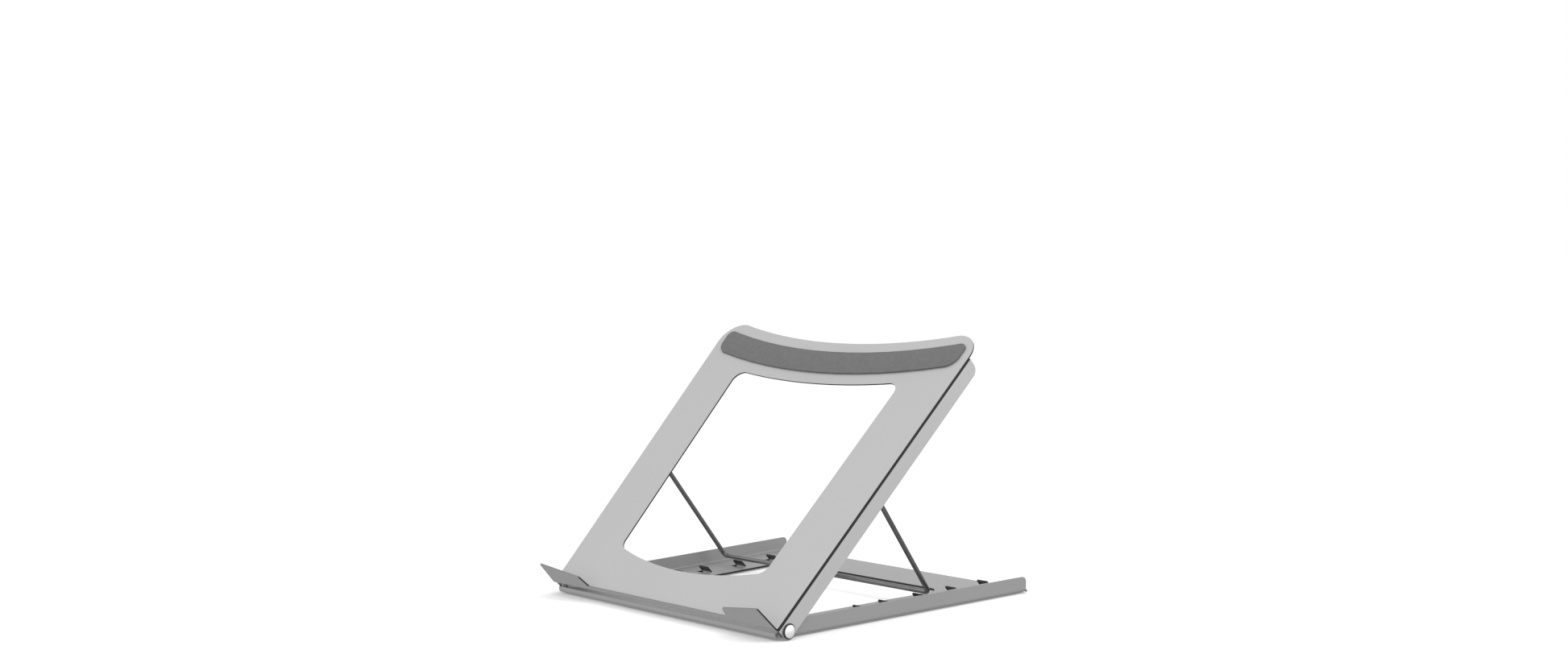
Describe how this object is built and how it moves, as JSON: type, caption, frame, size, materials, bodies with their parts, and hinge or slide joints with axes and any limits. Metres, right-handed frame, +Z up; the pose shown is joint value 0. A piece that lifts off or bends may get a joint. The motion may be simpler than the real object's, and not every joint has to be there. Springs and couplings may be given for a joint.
{
  "type": "laptop stand",
  "caption": "Folding sheet-steel laptop stand: slotted top plate hinged to a base tray, held up by a wire prop that steps along teeth",
  "frame": {"origin": "on the table, under the middle of the opened stand's outer box", "axes": "+X to the right across the stand, +Y from the front hooks to the back, +Z up"},
  "size_m": [0.2754, 0.2788, 0.2014],
  "materials": {
    "tray_metal": "satin silver-grey paint on steel sheet",
    "plate_metal": "satin silver-grey paint on steel sheet",
    "rail_metal": "satin silver-grey paint on steel sheet",
    "pad_rubber": "matte grey foam rubber, self-adhesive",
    "foot_rubber": "matte black rubber",
    "rivet_metal": "bright nickel-plated rivet",
    "washer_plastic": "black nylon",
    "small_steel": "plain zinc-plated steel",
    "wire_steel": "dark bright-drawn steel wire",
    "cap_plastic": "black plastic push-on cap"
  },
  "bodies": {
    "base": {"base_tray": "tray_metal", "foot_front_left": "foot_rubber", "foot_front_right": "foot_rubber", "foot_rear_left": "foot_rubber", "foot_rear_right": "foot_rubber", "hinge_rivet_left": "rivet_metal", "hinge_rivet_right": "rivet_metal", "head_washer_left": "washer_plastic", "head_washer_right": "washer_plastic", "spacer_washer_left": "washer_plastic", "spacer_washer_right": "washer_plastic", "tail_washer_left": "small_steel", "tail_washer_right": "small_steel"},
    "plate": {"top_plate": "plate_metal", "top_pad": "pad_rubber", "plate_rail_left": "rail_metal", "plate_rail_right": "rail_metal", "prop_bracket_left": "small_steel", "prop_bracket_right": "small_steel"},
    "prop": {"wire_prop": "wire_steel", "prop_cap_left": "cap_plastic", "prop_cap_right": "cap_plastic"}
  },
  "joints": [
    {"name": "plate_tilt", "type": "hinge", "parent": "base", "child": "plate", "pos_m": [0, -0.11193, 0.0062], "axis": [1, 0, 0], "range_deg": [-44.1, 17]},
    {"name": "prop_swing", "type": "hinge", "parent": "plate", "child": "prop", "pos_m": [0, -0.02186, 0.0969], "axis": [1, 0, 0], "range_deg": [-37.8, 98]}
  ],
  "couplings": [
    {"joint": "prop_swing", "follows": "plate_tilt", "ratio": -2.22}
  ]
}
